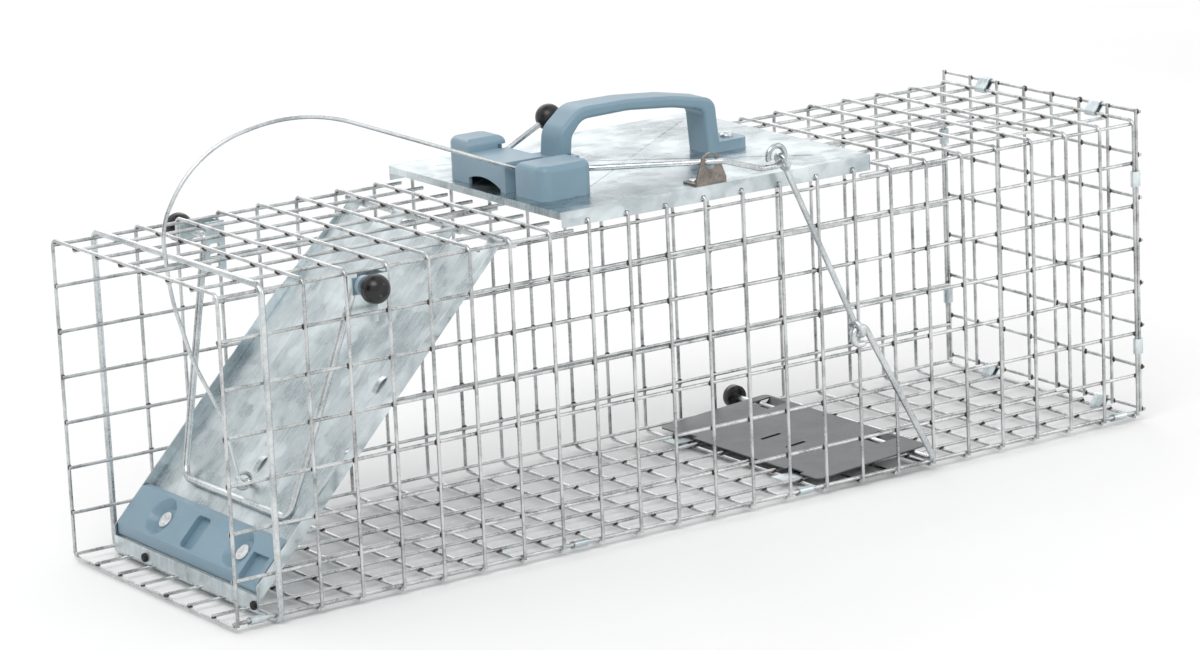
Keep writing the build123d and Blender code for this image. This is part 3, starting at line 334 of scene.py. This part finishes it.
capLow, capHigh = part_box("lock_bar_caps")
ball = {"radius": (capHigh[0] - capLow[0]) / 2, "dish": 0.0031, "dishDeep": 0.0009, "seam": 0.00022,
        "seamHalf": 0.00016, "bore": 0.0021, "mouth": 0.0026, "mouthAt": 0.955}
ballX, ballZ = (capLow[0] + capHigh[0]) / 2, (capLow[2] + capHigh[2]) / 2
bm = bmesh.new()
for side in (-1, 1):
    r = ball["radius"]
    centreY = side * ((capHigh[1] - capLow[1]) / 2 - r)
    flatAt = math.degrees(math.asin(ball["dish"] / r))
    profile = [(ball["bore"], -r * ball["mouthAt"]), (ball["mouth"], -r * ball["mouthAt"])]
    profile += arc(r, 20, 88, 14)
    # parting line of the mould, then the shallow dish at the outer pole
    profile += [(r - ball["seam"], -ball["seamHalf"]), (r - ball["seam"], ball["seamHalf"])]
    profile += arc(r, 92, 180 - flatAt, 14)
    rim = r * math.cos(math.radians(flatAt))
    profile += [(ball["dish"] * 0.82, rim - ball["dishDeep"] * 0.7),
                (ball["dish"] * 0.6, rim - ball["dishDeep"]), (0.0, rim - ball["dishDeep"])]
    lathe(bm, profile, (ballX, centreY, ballZ), (0, side, 0), 56)
ballCaps = meshObject("lockBarBalls", bm, finishes["black_plastic"], "lock_bar_body")
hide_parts("lock_bar_caps")

# cap on the treadle's axle: rim, dished face, hub
capLow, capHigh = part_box("treadle_rod_cap")
axleCap = {"radius": (capHigh[0] - capLow[0]) / 2, "y0": capLow[1], "y1": capHigh[1], "edge": 0.0012,
           "bore": 0.0019}
capX, capZ = (capLow[0] + capHigh[0]) / 2, (capLow[2] + capHigh[2]) / 2
r, w, e = axleCap["radius"], axleCap["y1"] - axleCap["y0"], axleCap["edge"]
bm = bmesh.new()
profile = [(axleCap["bore"], 0.0), (r * 0.5, 0.0), (r - e, 0.0), (r - e * 0.3, e * 0.3), (r, e), (r, w - e),
           (r - e * 0.3, w - e * 0.3), (r - e, w), (r * 0.72, w), (r * 0.66, w - 0.0012),
           (r * 0.44, w - 0.0016),
           (r * 0.40, w - 0.0004), (r * 0.36, w - 0.0001), (0.0, w - 0.0001)]
lathe(bm, profile, (capX, axleCap["y0"], capZ), (0, 1, 0), 48)
axleCapObj = meshObject("treadleAxleCap", bm, finishes["black_plastic"], "treadle")
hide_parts("treadle_rod_cap")
print("caps built")

# lanced tabs pressed up out of the door sheet
door = {"slope": 45.85, "hinge": (-0.1215, 0.1759), "face": 0.00298, "tab": 0.0105, "wide": 0.0042,
        "rise": 0.0014, "thick": 0.0006, "sunk": 0.0004, "waist": 0.18, "steps": 12}
downCos, downSin = math.cos(math.radians(door["slope"])), math.sin(math.radians(door["slope"]))


def onDoor(across, down, out):
    return Vector((door["hinge"][0] - down * downCos - out * downSin, across,
                   door["hinge"][1] - down * downSin + out * downCos))


bm = bmesh.new()
for across, down in ((-0.057, 0.099), (-0.003, 0.163)):
    rings = []
    for n in range(door["steps"] + 1):
        t = n / door["steps"]
        out = door["face"] - door["sunk"] + door["rise"] * math.sin(math.pi * t) ** 0.7
        s0 = down + door["tab"] * (t - 0.5)
        waist = door["wide"] / 2 * (1 - door["waist"] * math.sin(math.pi * t))
        rings.append([bm.verts.new(onDoor(across + side * waist, s0, out + lift))
                      for side, lift in ((-1, 0), (1, 0), (1, door["thick"]), (-1, door["thick"]))])
    for first, second in zip(rings, rings[1:]):
        for k in range(4):
            bm.faces.new((first[k], first[(k + 1) % 4], second[(k + 1) % 4], second[k]))
    bm.faces.new(rings[0][::-1])
    bm.faces.new(rings[-1])
doorTabs = meshObject("doorLancedTabs", bm, finishes["zinc_rod"], "door", smooth=False)
print("door tabs built")

# floor, light, camera
floorMat, tree, shader, coord = startMaterial("studioFloor", Roughness=0.75)
mottle = addNode(tree, "ShaderNodeTexNoise", {"Scale": perSize(400), "Detail": 3.0}, {"Vector": coord})
tone = addNode(tree, "ShaderNodeValToRGB", stops=[(0.3, grey(0.86)), (0.7, grey(0.90))],
               links={0: mottle.outputs["Fac"]})
tree.links.new(tone.outputs[0], shader.inputs["Base Color"])
bm = bmesh.new()
bmesh.ops.create_grid(bm, x_segments=2, y_segments=2, size=9.0)
floorMesh = bpy.data.meshes.new("studioFloor")
bm.to_mesh(floorMesh)
bm.free()
floorMesh.materials.append(floorMat)
floorObj = bpy.data.objects.new("studioFloor", floorMesh)
scene.collection.objects.link(floorObj)

world = bpy.data.worlds.new("studio")
scene.world = world
world.use_nodes = True
world.node_tree.nodes["Background"].inputs[0].default_value = (1.0, 1.0, 1.0, 1.0)
world.node_tree.nodes["Background"].inputs[1].default_value = light["world"]


def softBox(name, at, toward, size, power):
    data = bpy.data.lights.new(name, "AREA")
    data.shape = "RECTANGLE"
    data.size, data.size_y = size
    data.energy = power
    obj = bpy.data.objects.new(name, data)
    obj.location = at
    obj.rotation_euler = (Vector(toward) - Vector(at)).to_track_quat("-Z", "Y").to_euler()
    scene.collection.objects.link(obj)


softBox("keyLight", (-1.3, -1.1, 2.2), (0, 0, 0.1), (1.6, 1.2), light["key"])
softBox("fillLight", (1.8, -1.6, 1.0), (0, 0, 0.1), (1.4, 1.4), light["fill"])
softBox("rimLight", (0.6, 2.2, 1.6), (0, 0, 0.1), (2.4, 1.0), light["rim"])

# dark cards out of shot give the bright metal something to reflect
cardMat, tree, shader, coord = startMaterial("darkCard", Roughness=0.9)
weave = addNode(tree, "ShaderNodeTexNoise", {"Scale": perSize(3)}, {"Vector": coord})
tone = addNode(tree, "ShaderNodeValToRGB", stops=[(0.3, linear("#202224")), (0.7, linear(light["card"]))],
               links={0: weave.outputs["Fac"]})
tree.links.new(tone.outputs[0], shader.inputs["Base Color"])


def darkCard(name, at, toward, width, height):
    bm = bmesh.new()
    bmesh.ops.create_grid(bm, x_segments=1, y_segments=1, size=0.5)
    mesh = bpy.data.meshes.new(name)
    bm.to_mesh(mesh)
    bm.free()
    mesh.materials.append(cardMat)
    obj = bpy.data.objects.new(name, mesh)
    obj.scale = (width, height, 1)
    obj.location = at
    obj.rotation_euler = (Vector(toward) - Vector(at)).to_track_quat("-Z", "Y").to_euler()
    scene.collection.objects.link(obj)


darkCard("cardLeft", (-2.6, -0.2, 0.9), (0, 0, 0.3), 1.3, 1.6)
darkCard("cardRight", (2.4, -1.2, 1.0), (0, 0, 0.3), 0.9, 1.5)
darkCard("cardTop", (-0.4, 0.6, 2.9), (0, 0, 0), 1.4, 0.8)
scene.view_settings.view_transform = "Standard"

view = {"at": (-1.40154, -2.07744, 0.70865), "azimuth": -33.7655, "elevation": 13.7286, "roll": -2.565,
        "lens": 137.58}
a, e, r = (math.radians(view[k]) for k in ("azimuth", "elevation", "roll"))
back = Vector((math.sin(a) * math.cos(e), -math.cos(a) * math.cos(e), math.sin(e)))
right = Vector((math.cos(a), math.sin(a), 0))
up = back.cross(right)
camX = right * math.cos(r) + up * math.sin(r)
camY = -right * math.sin(r) + up * math.cos(r)
camData = bpy.data.cameras.new("studioCamera")
camData.lens, camData.sensor_width = view["lens"], 36.0
camObj = bpy.data.objects.new("studioCamera", camData)
camObj.matrix_world = Matrix.Translation(view["at"]) @ Matrix((camX, camY, back)).transposed().to_4x4()
scene.collection.objects.link(camObj)
scene.camera = camObj
print("stage set")
